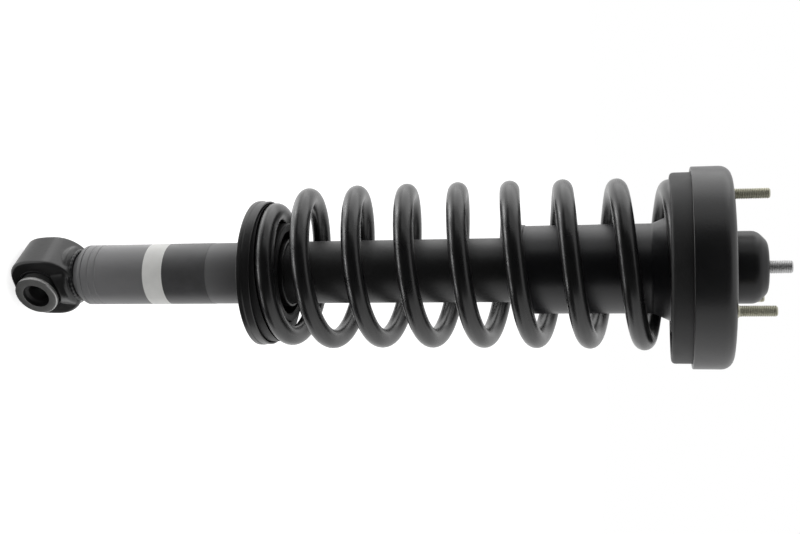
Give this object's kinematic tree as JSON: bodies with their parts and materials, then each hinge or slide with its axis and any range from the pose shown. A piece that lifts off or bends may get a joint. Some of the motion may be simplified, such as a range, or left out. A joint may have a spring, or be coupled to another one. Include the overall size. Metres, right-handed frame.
{
  "type": "strut assembly",
  "caption": "Coil-over suspension strut: studded rubber upper mount, coil spring on a grey twin-tube damper, dust boot, and a rubber-bushed lower eye.",
  "frame": {"origin": "centre of the upper mount's top face, which bolts up against the vehicle body", "axes": "+Z along the damper and out of the mount's top face; Y along the lower eye's bore"},
  "size_m": [0.154, 0.154, 0.6373],
  "materials": {
    "mount_paint": "satin black",
    "seat_paint": "satin black",
    "eye_paint": "satin black",
    "spring_paint": "satin charcoal powder coat",
    "tube_paint": "satin grey",
    "rubber": "matt black",
    "foam": "matt foam",
    "black_plastic": "moulded",
    "zinc": "olive zinc plate",
    "bare_steel": "machined",
    "dark_steel": "phosphate grey",
    "hard_chrome": "ground and chromed",
    "sintered": "sintered"
  },
  "bodies": {
    "upper_body": {"mount_housing": "mount_paint", "upper_spring_isolator": "rubber", "mount_rubber": "rubber", "mount_inner_sleeve": "bare_steel", "rebound_washer": "zinc", "rod_nut": "zinc", "dome_cap": "dark_steel", "stud_1": "zinc", "stud_2": "zinc", "stud_3": "zinc", "bump_stop_cup": "dark_steel", "bump_stop": "foam", "dust_boot": "black_plastic", "piston_rod": "hard_chrome", "rebound_stop": "black_plastic", "valve_shims": "bare_steel", "piston": "sintered", "piston_band": "black_plastic", "piston_nut": "bare_steel", "coil_spring": "spring_paint"},
    "damper_body": {"outer_tube": "tube_paint", "inner_cylinder": "bare_steel", "rod_guide": "sintered", "rod_seal": "rubber", "striker_cap": "dark_steel", "base_cap": "tube_paint", "base_valve": "sintered", "lower_spring_seat": "seat_paint", "lower_spring_pad": "rubber", "lower_eye": "eye_paint", "bushing_outer_sleeve": "dark_steel", "bushing_rubber": "rubber"},
    "sleeve_body": {"bushing_inner_sleeve": "dark_steel"}
  },
  "joints": [
    {"name": "damper_stroke", "type": "slide", "parent": "upper_body", "child": "damper_body", "axis": [0, 0, 1], "range_m": [0, 0.1], "stiffness_N_per_m": 51500, "springref_m": -0.037, "deforming": ["coil_spring", "bump_stop"]},
    {"name": "bushing_twist", "type": "hinge", "parent": "damper_body", "child": "sleeve_body", "pos_m": [0, 0, -0.5688], "axis": [0, 1, 0], "range_deg": [-15, 15], "stiffness_Nm_per_rad": 60}
  ]
}
